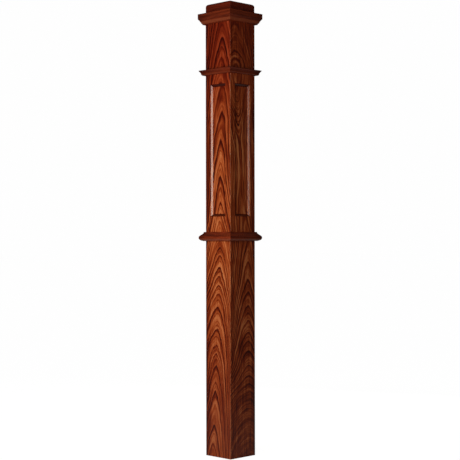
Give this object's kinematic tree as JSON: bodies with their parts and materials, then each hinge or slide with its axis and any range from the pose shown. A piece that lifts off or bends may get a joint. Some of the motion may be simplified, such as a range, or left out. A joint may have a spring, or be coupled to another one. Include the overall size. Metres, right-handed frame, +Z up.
{
  "type": "box newel post",
  "caption": "Tall square hollow newel post of mitred stained boards with sunk panels, cap, neck and waist mouldings, for ending a stair or landing handrail.",
  "frame": {"origin": "centre of the square foot, on the floor", "axes": "+Z up the post; the faces are square to X and Y, and the front face looks along -Y"},
  "size_m": [0.168, 0.168, 1.6535],
  "materials": {
    "board_wood": "stained open-grained boards under a gloss lacquer, orange-brown with dark cathedral grain",
    "moulding_wood": "the same wood with its grain along the moulding, darker red-brown, gloss lacquer",
    "cap_wood": "the same wood laid flat, dark red-brown, gloss lacquer"
  },
  "bodies": {
    "root": {"side_board_front": "board_wood", "side_board_right": "board_wood", "side_board_back": "board_wood", "side_board_left": "board_wood", "cap_block": "cap_wood", "cap_moulding_front": "moulding_wood", "cap_moulding_right": "moulding_wood", "cap_moulding_back": "moulding_wood", "cap_moulding_left": "moulding_wood", "neck_moulding_front": "moulding_wood", "neck_moulding_right": "moulding_wood", "neck_moulding_back": "moulding_wood", "neck_moulding_left": "moulding_wood", "waist_moulding_front": "moulding_wood", "waist_moulding_right": "moulding_wood", "waist_moulding_back": "moulding_wood", "waist_moulding_left": "moulding_wood"}
  },
  "joints": []
}
